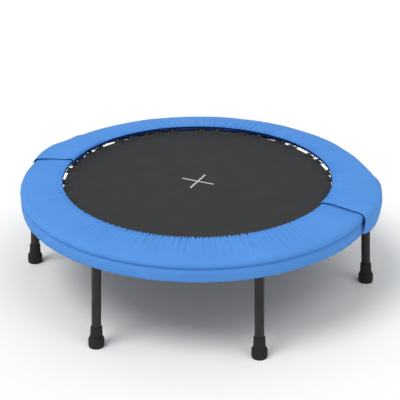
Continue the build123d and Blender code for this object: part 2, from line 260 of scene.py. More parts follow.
def webbing(name, low, high):
    """Polyester webbing with crosswise ribs: low between the threads, high on them."""
    finish = Finish(name, 0.68, specular=0.2)
    place = finish.place(on_uv=True)
    weave = finish.weave(place, 0.0012, 0.0024)
    between, on_threads = ((grey, grey, 1.03 * grey) for grey in (low, high))
    finish.colour(finish.mix(finish.span(weave, 0, 1, -1, 1), between, on_threads))
    finish.roughness(finish.span(finish.noise(place, 200.0), 0.6, 0.8))
    finish.bump((weave, 0.0004))
    return finish.material


def paint(name, colour, gloss, peel):
    """Powder coat: an orange-peel skin and gloss that changes a little from place to place."""
    finish = Finish(name, gloss, specular=0.3)
    place = finish.place(on_uv=False)
    drift = finish.noise(place, 11.0, 4.0)
    lighter = tuple(1.5 * c + 0.004 for c in colour)
    finish.colour(finish.mix(finish.span(drift, 0, 1), colour, lighter))
    finish.roughness(finish.span(finish.noise(place, 35.0, 4.0), gloss - 0.06, gloss + 0.12))
    finish.bump((drift, 0.0004), (finish.noise(place, 420.0, 2.0), peel))
    return finish.material


def rubber():
    """Moulded rubber: matt, faintly mottled, with a fine grain."""
    finish = Finish("foot_rubber", 0.78, specular=0.3)
    place = finish.place(on_uv=False)
    drift = finish.noise(place, 45.0, 5.0)
    finish.colour(finish.mix(finish.span(drift, 0, 1), (0.010, 0.010, 0.010), (0.022, 0.021, 0.020)))
    finish.roughness(finish.span(drift, 0.68, 0.88))
    finish.bump((finish.noise(place, 160.0, 4.0), 0.0005), (finish.noise(place, 900.0), 0.0002))
    return finish.material


def metal(name, colour, gloss, scale):
    """Zinc plate or drawn wire: metallic, with drawn streaks in colour and gloss."""
    finish = Finish(name, gloss, metallic=1.0)
    place = finish.place(on_uv=False)
    drift = finish.noise(place, scale, 5.0)
    finish.colour(finish.mix(finish.span(drift, 0, 1), colour, tuple(0.72 * c for c in colour)))
    finish.roughness(finish.span(finish.noise(place, 3 * scale, 4.0), gloss - 0.08, gloss + 0.15))
    finish.bump((finish.noise(place, 6 * scale), 0.0002))
    return finish.material


def foam_cells():
    """White polyethylene foam with open cut cells."""
    finish = Finish("foam", 0.9, specular=0.2)
    place = finish.place(on_uv=False)
    cells = finish.cells(place, 420.0)
    finish.colour(finish.mix(finish.span(cells, 0, 1, 0, 0.6), (0.55, 0.55, 0.53), (0.72, 0.72, 0.70)))
    finish.bump((cells, 0.0006))
    return finish.material


def floor_finish():
    """Plain pale studio floor."""
    finish = Finish("floor", 0.85, specular=0.1)
    place = finish.place(on_uv=False)
    drift = finish.span(finish.noise(place, 1.5), 0, 1)
    finish.colour(finish.mix(drift, (0.93, 0.93, 0.93), (0.96, 0.96, 0.96)))
    return finish.material


COVER_BLUE = vinyl("cover_vinyl", (0.095, 0.292, 0.716), (0.083, 0.268, 0.68), 0.55)
# Dark navy for the cover's lining; the same colour is also painted on the outside just under the inner edge
# as painted shade.
COVER_LINING_AND_PAINTED_SHADE = vinyl("cover_lining_and_painted_shade", (0.012, 0.066, 0.28), (0.009, 0.050, 0.23), 0.75)
COVER_THREAD = thread("cover_thread", (0.11, 0.33, 0.74))
MAT_CLOTH = mat_cloth()
MAT_THREAD = thread("mat_thread", (0.04, 0.04, 0.042))
# Painted light: the edge band's greys are lighter than the mat's to make up for the shade that the cover
# casts on the band.
BAND_WEBBING = webbing("edge_webbing", 0.032, 0.046)
TAB_WEBBING = webbing("tab_webbing", 0.024, 0.040)
RING_WIRE = paint("ring_wire", (0.014, 0.014, 0.015), 0.4, 0.0001)
SPRING_STEEL = metal("spring_steel", (0.56, 0.56, 0.57), 0.32, 70.0)
ZINC = metal("zinc_hardware", (0.62, 0.61, 0.58), 0.35, 90.0)
FRAME_PAINT = paint("frame_paint", (0.014, 0.014, 0.015), 0.38, 0.00012)
BRACKET_PAINT = paint("bracket_paint", (0.016, 0.016, 0.017), 0.45, 0.00015)
LEG_PAINT = paint("leg_paint", (0.0125, 0.012, 0.0115), 0.42, 0.0001)
PLASTIC = paint("black_plastic", (0.013, 0.013, 0.013), 0.55, 0.0002)
RUBBER = rubber()
FOAM = foam_cells()
ELASTIC = paint("elastic", (0.02, 0.02, 0.021), 0.8, 0.0004)

NODE_FINISHES = (("frame_tube", FRAME_PAINT), ("leg_sockets", FRAME_PAINT), ("hinge_bracket", BRACKET_PAINT),
                 ("leg_tube", LEG_PAINT), ("foot_", RUBBER), ("tube_end_plugs", PLASTIC),
                 ("leg_top_plugs", PLASTIC), ("leg_studs", ZINC), ("hinge_bolt", ZINC), ("hinge_nut", ZINC),
                 ("hinge_washer", ZINC), ("hinge_sleeve", PLASTIC), ("cover_foam", FOAM),
                 ("skirt_elastic", ELASTIC))


def finish_cad_nodes():
    """Gives each CAD node that stays as it is the finish that its name asks for."""
    for name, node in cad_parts.items():
        for start, finish in NODE_FINISHES:
            if name.startswith(start):
                for place in node.material_slots:
                    place.material = finish
                if not node.material_slots:
                    node.data.materials.append(finish)


finish_cad_nodes()


# --- mesh tools ---
class Builder:
    """Gathers points and faces, with a map in metres over the cloth and a material for each part."""

    def __init__(self):
        self.points, self.faces, self.maps, self.shades = [], [], [], []
        self.count = 0

    def grid(self, points, flat=None, shade=0, wrap_rows=False, wrap_columns=False):
        """A sheet of quads through points[row, column]; wrapped ways close on themselves."""
        rows, columns = points.shape[:2]
        if flat is None:
            flat = np.zeros((rows, columns, 2))
        index = self.count + np.arange(rows * columns).reshape(rows, columns)
        down = np.roll(index, -1, 0) if wrap_rows else index[1:]
        upper = index if wrap_rows else index[:-1]
        if wrap_columns:
            right, down_right = np.roll(upper, -1, 1), np.roll(down, -1, 1)
        else:
            upper, right, down, down_right = upper[:, :-1], upper[:, 1:], down[:, :-1], down[:, 1:]
        quads = np.stack([upper, right, down_right, down], -1).reshape(-1, 4)
        self.points.append(points.reshape(-1, 3))
        self.maps.append(flat.reshape(-1, 2))
        self.add_faces(quads, shade)
        self.count += rows * columns
        return index

    def add_faces(self, faces, shade=0):
        faces = [tuple(int(i) for i in face) for face in faces]
        self.faces.extend(faces)
        self.shades.extend([shade] * len(faces))

    def piece(self, name, materials):
        points = np.concatenate(self.points)
        mesh = bpy.data.meshes.new(name)
        mesh.from_pydata(points.tolist(), [], self.faces)
        for material in materials:
            mesh.materials.append(material)
        mesh.polygons.foreach_set("material_index", self.shades)
        mesh.polygons.foreach_set("use_smooth", [True] * len(self.faces))
        corners = np.zeros(len(mesh.loops), int)
        mesh.loops.foreach_get("vertex_index", corners)
        layer = mesh.uv_layers.new(name="cloth")
        layer.data.foreach_set("uv", np.concatenate(self.maps)[corners].ravel())
        obj = bpy.data.objects.new(name, mesh)
        bpy.context.scene.collection.objects.link(obj)
        return obj


def tube(builder, path, radius, sides, closed=False, shade=0):
    """A round bar along a path of points, without twist."""
    path = np.asarray(path, float)
    ahead = np.roll(path, -1, 0) - path if closed else np.gradient(path, axis=0)
    if closed:
        ahead += path - np.roll(path, 1, 0)
    ahead /= np.linalg.norm(ahead, axis=1)[:, None]
    side = np.cross(ahead[0], (0, 0, 1) if abs(ahead[0][2]) < 0.9 else (1, 0, 0))
    turn = 2 * pi * np.arange(sides) / sides
    rings = []
    for centre, along in zip(path, ahead):
        side = side - (side @ along) * along
        side /= np.linalg.norm(side)
        up = np.cross(along, side)
        rings.append(centre + radius * (np.outer(np.cos(turn), side) + np.outer(np.sin(turn), up)))
    index = builder.grid(np.array(rings), shade=shade, wrap_rows=closed, wrap_columns=True)
    if not closed:
        builder.add_faces([index[0], index[-1][::-1]], shade)


def rounded(points, closed=False):
    """The outline with its corners cut twice, which leaves them rounded."""
    points = np.asarray(points, float)
    for _ in range(2):
        ends = np.roll(points, -1, 0) if closed else points[1:]
        starts = points if closed else points[:-1]
        cut = np.stack([0.75 * starts + 0.25 * ends, 0.25 * starts + 0.75 * ends], 1)
        cut = cut.reshape(-1, points.shape[1])
        points = cut if closed else np.concatenate([points[:1], cut[1:-1], points[-1:]])
    return points


def turned(points, angle):
    """Points turned about the Z axis."""
    c, s = cos(angle), sin(angle)
    return points @ np.array([[c, s, 0], [-s, c, 0], [0, 0, 1]])


def along_line(line):
    """How far along its line each [row, (radius, height)] point lies."""
    return np.r_[0, np.cumsum(np.hypot(*np.diff(line, axis=0).T))]


def normals(line):
    """Unit vectors square to a [row, 2] or [row, column, 2] line, outwards where it runs up or inwards."""
    ahead = np.gradient(line, axis=0)
    ahead /= np.linalg.norm(ahead, axis=-1)[..., None]
    return np.stack([ahead[..., 1], -ahead[..., 0]], -1)


def fix_normals(piece):
    work = bmesh.new()
    work.from_mesh(piece.data)
    bmesh.ops.recalc_face_normals(work, faces=work.faces)
    work.to_mesh(piece.data)
    work.free()


def wander(angles, knots, seed):
    """A smooth wandering value from -1 to 1 round the ring, the same at 0 and 360 degrees."""
    values = np.random.default_rng(seed).uniform(-1, 1, knots)
    place = np.asarray(angles) / (2 * pi) * knots
    low = np.floor(place).astype(int)
    share = place - low
    share = share * share * (3 - 2 * share)
    return values[low % knots] * (1 - share) + values[(low + 1) % knots] * share


def smooth_step(value, start, end):
    """0 up to start, 1 from end on, and an S-shaped rise between them."""
    share = np.clip((value - start) / (end - start), 0, 1)
    return share * share * (3 - 2 * share)


def around(radius, height, angles):
    """Points at radius and height, both given by [row, column], round the ring at the columns' angles."""
    return np.stack([radius * np.cos(angles), radius * np.sin(angles), height + 0 * radius], -1)


# --- mat, edge band and stitching ---
MAT_COLUMNS, MAT_ROWS, BAND_COLUMNS = 360, 84, 480
MAT_SAG = 0.0015              # at the middle
EDGE_PULL = 0.0009            # how much further out the mat's edge is at a tab than between tabs
EDGE_RIPPLE = 0.00025
BAND_STITCHES = BAND_IN + 0.0035, BAND_OUT - 0.0045    # radii of the two rows
STITCH_LENGTH = 0.0034
STITCH_PITCH = 0.0048
STITCH_R = 0.00045
STITCH_LIFT = 0.0001          # how far a stitch's middle line stands off the cloth
ALL_ANGLES = np.array(spring_angles("rear") + spring_angles("front"))


def slack_edge(angles):
    """How far the mat's edge lies in from where the tabs hold it: nothing at a tab, most between two."""
    gap = np.abs((np.asarray(angles)[..., None] - ALL_ANGLES + pi) % (2 * pi) - pi).min(-1)
    return EDGE_PULL * (1 - np.exp(-(gap / radians(2.6)) ** 2))


def ripple(angles):
    """The edge band's slow waves up and down."""
    return EDGE_RIPPLE * wander(angles, 90, 5)


def stitches(builder, path, shade):
    """Short threads laid end to end along a path of points, each a bead that sinks in at its ends."""
    path = np.asarray(path, float)
    steps = np.r_[0, np.cumsum(np.linalg.norm(np.diff(path, axis=0), axis=1))]
    starts = np.arange(STITCH_PITCH / 2, steps[-1] - STITCH_LENGTH, STITCH_PITCH)
    for start in starts:
        along = start + STITCH_LENGTH * np.array([0, 0.2, 0.5, 0.8, 1])
        centre = np.stack([np.interp(along, steps, path[:, k]) for k in range(3)], -1)
        centre[[0, -1], 2] -= STITCH_R
        tube(builder, centre, STITCH_R, 5, shade=shade)


def jump_mat():
    """One closed cloth across both halves, sagging a little towards its middle."""
    angles = np.linspace(0, 2 * pi, MAT_COLUMNS, endpoint=False)
    shares = np.linspace(0, 1, MAT_ROWS)[1:, None]
    radius = shares * (MAT_R - slack_edge(angles))
    sag = MAT_SAG * (1 - shares ** 2)
    builder = Builder()
    layers = []
    for level in (MAT_HIGH, MAT_LOW):
        points = around(radius, level - sag, angles)
        layers.append(builder.grid(points, points[..., :2], wrap_columns=True))
    for level, layer in zip((MAT_HIGH, MAT_LOW), layers):
        middle = builder.grid(np.array([[[0, 0, level - MAT_SAG]]]))[0, 0]
        builder.add_faces([(middle, a, b) for a, b in zip(layer[0], np.roll(layer[0], -1))])
    top, low = layers
    builder.add_faces(zip(top[-1], np.roll(top[-1], -1), np.roll(low[-1], -1), low[-1]))
    mat = builder.piece("jump_mat", [MAT_CLOTH])
    fix_normals(mat)
    return mat


def edge_band():
    """Webbing folded over the mat's edge, sewn down with two rows of stitches."""
    angles = np.linspace(0, 2 * pi, BAND_COLUMNS, endpoint=False)
    half = (BAND_HIGH - BAND_LOW) / 2
    inside = MAT_HIGH - MAT_Z
    outline = rounded([(BAND_IN, inside), (BAND_IN, half), (BAND_OUT - 0.001, half), (BAND_OUT, half),
                       (BAND_OUT, -half), (BAND_OUT - 0.001, -half), (BAND_IN, -half), (BAND_IN, -inside)])
    radius = outline[:, :1] - slack_edge(angles)
    sag = MAT_SAG * (1 - (outline[:, :1] / MAT_R) ** 2)
    height = MAT_Z + outline[:, 1:] - sag + ripple(angles)
    flat = np.stack(np.broadcast_arrays(along_line(outline)[:, None], angles * BAND_OUT), -1)
    builder = Builder()
    builder.grid(around(radius, height, angles), flat, wrap_columns=True)
    row = np.linspace(0, 2 * pi, 720)
    for row_radius in BAND_STITCHES:
        for level in (half, -half):
            height = MAT_Z + level + STITCH_LIFT + ripple(row)
            stitches(builder, around(row_radius - slack_edge(row), height, row), 1)
    return builder.piece("mat_edge_band", [BAND_WEBBING, MAT_THREAD])


def mat_pieces():
    """The mat and its edge band, in place of the CAD mat and its hems."""
    mat = jump_mat()
    band = edge_band()
    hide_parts("mat_rear", "mat_front")
    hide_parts("mat_hem_rear", "mat_hem_front")
    for piece in (mat, band):
        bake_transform(piece)


# --- tabs, wire rings and springs ---
TAB_HALF_WIDTH = 0.011
TAB_STITCHES = TAB_IN + 0.0025, TAB_IN + 0.0115        # radii of the two rows
WEB = 0.001                   # the webbing's thickness
NOSE = 0.006                  # how far inside the wire the tab starts to open round it
RING_BASE_HALF = 0.0155       # half the wire ring's width in the tab
RING_TOP_HALF = 0.004         # and at the spring
SPRING_WIRE_R = 0.0011
SPRING_TIP_R = (TUBE_IN + TUBE_OUT) / 2 - 0.008        # where the tail turns down inside the tube
SPRING_TIP_Z = (TUBE_LOW + TUBE_HIGH) / 2 + 0.005
COIL_R = 0.0034               # from the coil's axis to the middle of its wire
COIL_START, COIL_END = WIRE_OUT - WIRE_R + 0.008, 0.412                    # radii round the Z axis
COIL_PITCH = 0.0024
HOOK_R = 0.0032               # of the eye that hooks round the ring


def tab_loops(half):
    """Webbing tabs that hold the wire rings, each folded round a ring's base wire and sewn on."""
    wire_middle = WIRE_IN + WIRE_R
    level = TAB_HIGH - MAT_Z - WEB / 2
    nose_r = WIRE_R + WEB / 2 + 0.0001
    turn = np.linspace(pi / 2, -pi / 2, 9)
    middle = np.concatenate([np.linspace((TAB_IN, level), (wire_middle - NOSE, level), 5),
                             np.stack([wire_middle + nose_r * np.cos(turn), nose_r * np.sin(turn)], -1),
                             np.linspace((wire_middle - NOSE, -level), (TAB_IN, -level), 5)])
    half_web = normals(middle) * WEB / 2
    loop = np.concatenate([middle - half_web, (middle + half_web)[::-1]])
    widths = np.linspace(-1, 1, 9)
    widths = np.sign(widths) * np.abs(widths) ** 0.8 * TAB_HALF_WIDTH
    builder = Builder()
    for angle in spring_angles(half):
        points = np.array([[(r, w, MAT_Z + z) for w in widths] for r, z in loop])
        flat = np.array([[(w, length) for w in widths] for length in along_line(loop)])
        index = builder.grid(turned(points, angle), flat, wrap_rows=True)
        last = len(loop) - 1
        for column in (0, -1):
            builder.add_faces([(index[i, column], index[i + 1, column],
                                index[last - i - 1, column], index[last - i, column])
                               for i in range(len(middle) - 1)])
        for side in (1, -1):
            height = MAT_Z + side * (level + WEB / 2)
            for r in TAB_STITCHES:
                reach = TAB_HALF_WIDTH - 0.0015
                row = np.array([(r, w, height) for w in (-reach, 0, reach)])
                stitches(builder, turned(row, angle), 1)
    loops = builder.piece(f"tab_loops_{half}", [TAB_WEBBING, MAT_THREAD])
    fix_normals(loops)
    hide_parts(f"mat_tabs_{half}")
    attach(loops, f"{half}_half")


def ring_wires(half):
    """Closed wire rings, wide in the tab and narrow where the spring hooks on."""
    inner, outer = WIRE_IN + WIRE_R, WIRE_OUT - WIRE_R
    corners = [(inner, -RING_BASE_HALF, MAT_Z), (inner, 0, MAT_Z), (inner, RING_BASE_HALF, MAT_Z),
               (inner + 0.002, RING_BASE_HALF, MAT_Z), (outer - 0.002, RING_TOP_HALF, MAT_Z),
               (outer, RING_TOP_HALF - 0.001, MAT_Z), (outer, 1e-4 - RING_TOP_HALF + 0.001, MAT_Z),
               (outer - 0.002, -RING_TOP_HALF, MAT_Z), (inner + 0.002, -RING_BASE_HALF, MAT_Z)]
    path = rounded(corners, closed=True)
    builder = Builder()
    for angle in spring_angles(half):
        tube(builder, turned(path, angle), WIRE_R, 10, closed=True)
    wires = builder.piece(f"ring_wires_{half}", [RING_WIRE])
    fix_normals(wires)
    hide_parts(f"wire_rings_{half}")
    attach(wires, f"{half}_half")


def spring_path():
    """One spring's wire at angle 0: the eye round the ring, the close coil, and the tail in the tube."""
    eye_middle = WIRE_OUT - WIRE_R

    def line(radius):
        share = (radius - eye_middle) / (SPRING_TIP_R - eye_middle)
        return np.array([radius, 0, MAT_Z + share * (SPRING_TIP_Z - MAT_Z)])

    turn = np.linspace(radians(-330), radians(-10), 22)
    eye = [line(eye_middle) + HOOK_R * np.array([cos(a), 0, sin(a)]) for a in turn]
    turns = (COIL_END - COIL_START) / COIL_PITCH
    swing = np.linspace(0, 2 * pi * turns, int(12 * turns))
    size = COIL_R * np.minimum(1, np.minimum(swing, swing[-1] - swing) / pi)
    coil = [line(COIL_START + COIL_PITCH * a / (2 * pi)) + s * np.array([0, sin(a), cos(a)])
            for a, s in zip(swing, size)]
    tail = [line(SPRING_TIP_R) - np.array([0, 0, drop]) for drop in (0, 0.002, 0.005)]
    return np.array(eye + coil + [line(SPRING_TIP_R - 0.003)] + tail)


def coil_springs(half):
    """The springs of a half, all alike."""
    path = spring_path()
    builder = Builder()
    for angle in spring_angles(half):
        tube(builder, turned(path, angle), SPRING_WIRE_R, 6)
    springs = builder.piece(f"coil_springs_{half}", [SPRING_STEEL])
    fix_normals(springs)
    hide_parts(f"springs_{half}")
    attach(springs, f"{half}_half")


# --- padded cover and overlap panels ---
COVER_COLUMNS, FLAP_COLUMNS = 860, 200
SEAM_Z = HEM_Z + 0.0318       # where the top panel is sewn to the skirt
SKIRT_LEAN = 0.0035           # how far the skirt's hem lies in from the seam
PADDED_SHOULDER = (0.017, TOP_Z - 0.008)               # its radius and where it ends, over the foam
HINGE_SHOULDER = (0.009, TOP_Z - 0.003)                # and over the hinges, where there is no foam
LIP = 0.0026                  # radius of the turn at the inner edge
LIP_DEPTH = 0.0105            # how far the cloth goes down there
CLOTH = 0.0018
UNDERSIDE_Z = TUBE_HIGH + 0.0004
UNDERSIDE_EDGE = 0.0065       # the underside stops this far inside the cover's edges
UNDERSIDE_RISE = 0.0069       # from the ring tube to the inner edge, clear of the springs
CROWN = 0.0004                # how much higher the flat top is half way across
GATHER_PITCH = 0.0076
GATHERS = round(2 * pi * COVER_IN / GATHER_PITCH)
EDGE_GATHER, NEAR_GATHER, PANEL_GATHER = 0.0042, 0.0010, 0.0027    # at the inner edge, by it, on the top
SEAM_GROOVES = (0.0042, 0.0055), (0.0034, 0.0024)      # (depth, reach) of a wide groove and a narrow one
HEM_STITCHES = 0.007          # from the hem
EDGE_STITCHES = 0.009         # from the inner edge
END_ANGLE = radians(0.4)      # from the fold to a half's own end
# Angles from the fold between which one shape turns into another:
SQUARE_ANGLES = radians(1.6), radians(6.0)             # from the hinge shoulder to the padded one
PAD_ANGLES = radians(11.2), radians(13.2)              # from one thickness of cloth to the padded underside
HARDWARE_ANGLES = radians(4.5), radians(8.0)           # from a shallow seam over the brackets to a deep one


SKIRT_ROWS, RISE_ROWS, SHOULDER_ROWS, TOP_ROWS, TURN_ROWS = 9, 5, 8, 21, 5     # steps along the cover's line


def outer_line(shoulder):
    """The cover's outside as (radius, height), from the skirt's hem over the shoulder to the inner edge."""
    shoulder_r, shoulder_z = shoulder
    out = COVER_OUT
    skirt = np.linspace((out - SKIRT_LEAN, HEM_Z), (out, SEAM_Z), SKIRT_ROWS + 1)
    rise = np.linspace((out, SEAM_Z), (out, shoulder_z - shoulder_r), RISE_ROWS + 1)[1:]
    arc = np.linspace(0, pi / 2, SHOULDER_ROWS + 1)[1:]
    bow = np.stack([out - shoulder_r * (1 - np.cos(arc)), shoulder_z - shoulder_r * (1 - np.sin(arc))], -1)
    share = np.linspace(0, 1, TOP_ROWS + 1)[1:]
    top = bow[-1] * (1 - share[:, None]) + np.array([COVER_IN + LIP, TOP_Z]) * share[:, None]
    top[:, 1] += CROWN * np.sin(pi * share) ** 0.9
    turn = np.linspace(0, radians(120), TURN_ROWS + 1)[1:]
    lip = np.stack([COVER_IN + LIP * (1 - np.sin(turn)), TOP_Z - LIP * (1 - np.cos(turn))], -1)
    return np.concatenate([skirt, rise, bow, top, lip, [(COVER_IN + 0.0035, TOP_Z - LIP_DEPTH)]])


def from_fold(angles):
    """How far each angle is from the fold line, which lies at 0 and at 180 degrees."""
    return np.abs((np.asarray(angles) + pi / 2) % pi - pi / 2)


def section_at(angles, square_angles=SQUARE_ANGLES):
    """The cover's plain outside for each angle: [row, column, (radius, height)]."""
    square = (1 - smooth_step(from_fold(angles), *square_angles))[:, None]
    return outer_line(PADDED_SHOULDER)[:, None] * (1 - square) + outer_line(HINGE_SHOULDER)[:, None] * square


LINE_LENGTHS = along_line(outer_line(PADDED_SHOULDER))
SEAM_ROW = SKIRT_ROWS
UNDER_ROW = SEAM_ROW + RISE_ROWS + 2                   # the pad's underside starts below this row
TOP_ROW = SEAM_ROW + RISE_ROWS + SHOULDER_ROWS + 1     # the first row of the flat top
LIP_ROW = TOP_ROW + TOP_ROWS - 1
PAINTED_SHADE_ROW = LIP_ROW + 3      # the painted shade, in the lining's dark colour, starts here, just under the inner edge
SEAM_AT = LINE_LENGTHS[SEAM_ROW]
LIP_AT = LINE_LENGTHS[LIP_ROW]


def lining_of(outside, angles):
    """The skirt's inside and the pad's flat underside; near the fold, without foam, one cloth thick."""
    inside = outside - CLOTH * normals(outside)
    start, end = LINE_LENGTHS[UNDER_ROW], LINE_LENGTHS[-1]
    share = (LINE_LENGTHS - start) / (end - start)
    radius = np.interp(share, (0, 1), (COVER_OUT - UNDERSIDE_EDGE, COVER_IN + UNDERSIDE_EDGE))
    rise = np.interp(radius, (COVER_IN + 0.009, TUBE_IN - 0.003), (UNDERSIDE_RISE, 0))
    under = np.stack([radius, UNDERSIDE_Z + rise], -1)[:, None]
    padded = (share >= 0)[:, None] * smooth_step(from_fold(angles), *PAD_ANGLES)
    return inside + (under - inside) * padded[..., None]


def gathers(angles):
    """How far the gathered cloth stands out, by [row, column]: fine at the inner edge, merging outwards."""
    phase = GATHERS * angles / 2 + 1.1 * wander(angles, 160, 11) + 0.8 * wander(angles, 46, 12)
    fine = np.abs(np.sin(phase)) - 2 / pi
    merged = np.abs(np.sin(phase / 2 + 0.7 * wander(angles, 90, 13))) - 2 / pi
    strength = 1 + 0.6 * wander(angles, 120, 14)
    from_lip = np.maximum(LIP_AT - LINE_LENGTHS, 0)[:, None]
    edge = np.exp(-(from_lip / 0.006) ** 1.5)
    near = np.exp(-(from_lip / 0.035) ** 2)
    reach = 0.092 + 0.018 * wander(angles, 60, 15) + 0.010 * wander(angles, 210, 16)
    panel = 1 - smooth_step(from_lip, 0.45 * reach, reach)
    inwards = NEAR_GATHER * near * fine + PANEL_GATHER * panel * (1 - 0.5 * edge) * merged
    return EDGE_GATHER * edge * fine + strength * inwards


def puckers(angles):
    """Slow waves of the padding and the skirt, and the seam that is pulled in."""
    from_seam = (LINE_LENGTHS - SEAM_AT)[:, None]
    above = np.exp(-((from_seam - 0.016) / 0.011) ** 2)
    skirt = smooth_step(-from_seam, 0.004, 0.03)
    groove = sum(depth * np.exp(-(from_seam / reach) ** 2) for depth, reach in SEAM_GROOVES)
    groove = groove * (1 - 0.6 * (1 - smooth_step(from_fold(angles), *HARDWARE_ANGLES)))
    waves = 0.0008 * wander(angles, 48, 21) + 0.0004 * wander(angles, 150, 22)
    hem = 0.0003 * np.sin(90 * angles + 2 * wander(angles, 40, 23)) + 0.0004 * wander(angles, 55, 24)
    return above * waves + skirt * hem - groove * (1 + 0.12 * wander(angles, 300, 25))


def shell(builder, outside, lining, angles):
    """A closed cloth shell: outside, lining, both hems and the two cut ends."""
    flat = np.stack(np.broadcast_arrays(angles * (COVER_IN + COVER_OUT) / 2, LINE_LENGTHS[:, None]), -1)
    top = builder.grid(around(outside[..., 0], outside[..., 1], angles), flat)
    low = builder.grid(around(lining[..., 0], lining[..., 1], angles), flat, shade=1)
    for row in (0, -1):
        builder.add_faces(zip(top[row][:-1], top[row][1:], low[row][1:], low[row][:-1]))
    for column in (0, -1):
        builder.add_faces(zip(top[:-1, column], top[1:, column], low[1:, column], low[:-1, column]))
    return top


SWELL_COLUMNS = 120
SWELL_FRAMES = 20
SWELL_PRESSURE = 4.0
SWELL_SLACK = 0.01            # how much larger the cloth is than the pad that it covers
SWELL_STIFFNESS = 40.0
SWELL_SHARE = 0.4             # how much of the swelling the cover keeps
SWELL_CAP = 0.0030            # and no more than this


def swelling(half):
    """A cloth simulation of the sewn cover, filled by pressure: its angles, and how far each point swells."""
    start, end = (radians(a) for a in HALVES[half])
    angles = np.linspace(start + END_ANGLE, end - END_ANGLE, SWELL_COLUMNS)
    outside = section_at(angles)
    builder = Builder()
    top = shell(builder, outside, lining_of(outside, angles), angles)
    pad = builder.piece("swelling_pad", [COVER_BLUE, COVER_LINING_AND_PAINTED_SHADE])
    fix_normals(pad)
    free = [top[SEAM_ROW + 1:UNDER_ROW, 1:-1].ravel(), top[TOP_ROW:LIP_ROW, 1:-1].ravel()]
    held = set(range(len(pad.data.vertices))) - set(np.concatenate(free).tolist())
    sewn = pad.vertex_groups.new(name="sewn")
    sewn.add(sorted(held), 1.0, "REPLACE")
    cloth = pad.modifiers.new("swelling", "CLOTH")
    cloth.settings.vertex_group_mass = "sewn"
    cloth.settings.effector_weights.gravity = 0
    cloth.settings.shrink_min = -SWELL_SLACK
    cloth.settings.tension_stiffness = SWELL_STIFFNESS
    cloth.settings.use_pressure = True
    cloth.settings.uniform_pressure_force = SWELL_PRESSURE
    cloth.collision_settings.use_collision = False
    cloth.point_cache.frame_start, cloth.point_cache.frame_end = 1, SWELL_FRAMES
    for step in range(1, SWELL_FRAMES + 1):
        bpy.context.scene.frame_set(step)
    swelled = pad.evaluated_get(bpy.context.evaluated_depsgraph_get())
    moved = np.array([v.co for v in swelled.data.vertices])[top]
    bpy.context.scene.frame_set(1)
    bpy.data.objects.remove(pad)
    shift = moved - around(outside[..., 0], outside[..., 1], angles)
    out = normals(outside)
    amount = SWELL_SHARE * (shift * around(out[..., 0], out[..., 1], angles)).sum(-1)
    return angles, np.clip(amount, -SWELL_CAP, SWELL_CAP)


SWELLINGS = {half: swelling(half) for half in HALVES}


def paint_shade_under_lip(builder, top):
    """Paints shade under the inner edge: gives the outside's last rows the lining's dark colour."""
    first = top[PAINTED_SHADE_ROW, 0]
    last = top[-1, -1]
    for face, corners in enumerate(builder.faces):
        if all(first <= corner <= last for corner in corners):
            builder.shades[face] = 1


def swell_at(half, angles):
    """How far the cloth swells out, by [row, column]; nothing past the half's ends, which are held."""
    coarse_angles, swell = SWELLINGS[half]
    return np.array([np.interp(angles, coarse_angles, row) for row in swell])


# How much each row takes part: from half way over the top outwards, and down the inner edge.
AT_SHOULDER = smooth_step(LIP_AT - LINE_LENGTHS, 0.055, 0.105)[:, None]
AT_RETURN = smooth_step(LINE_LENGTHS, LIP_AT, LINE_LENGTHS[-1])[:, None]
PUSHED_OUT = 0.0075
PUSH_RISE = radians(14), radians(25)
PUSH_FALL = radians(28), radians(38)


def pushed_out(angles):
    """How far the cover's side stands out round the right flap's sewn end."""
    return PUSHED_OUT * smooth_step(angles, *PUSH_RISE) * (1 - smooth_step(angles, *PUSH_FALL))


def cover_outside(half, angles):
    """The cover's finished outside: its section, swelled by the simulation, gathered and puckered."""
    outside = section_at(angles)
    amount = swell_at(half, angles) + gathers(angles) + puckers(angles)
    outside = outside + normals(outside) * amount[..., None]
    outside[..., 0] += pushed_out(angles) * AT_SHOULDER
    return outside


def stitch_row(builder, outside, angles, at):
    """A row of stitches on the cover's outside, at a length along its line from the hem."""
    radius = np.array([np.interp(at, LINE_LENGTHS, column) for column in outside[..., 0].T])
    height = np.array([np.interp(at, LINE_LENGTHS, column) for column in outside[..., 1].T])
    stitches(builder, around(radius, height + STITCH_LIFT, angles), 2)


def padded_cover(half):
    """A half's whole cover: vinyl outside with painted shade under the inner edge, lining, and its rows of
    stitches.
    """
    start, end = (radians(a) for a in HALVES[half])
    angles = np.linspace(start + END_ANGLE, end - END_ANGLE, COVER_COLUMNS)
    outside = cover_outside(half, angles)
    builder = Builder()
    top = shell(builder, outside, lining_of(outside, angles), angles)
    # painted shade: the outside's rows under the inner edge take the lining's dark colour
    paint_shade_under_lip(builder, top)
    for at in (LIP_AT - EDGE_STITCHES, HEM_STITCHES):
        stitch_row(builder, outside, angles, at)
    cover = builder.piece(f"padded_cover_{half}", [COVER_BLUE, COVER_LINING_AND_PAINTED_SHADE, COVER_THREAD])
    fix_normals(cover)
    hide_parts(f"cover_{half}", f"cover_soft_ends_{half}")
    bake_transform(cover)


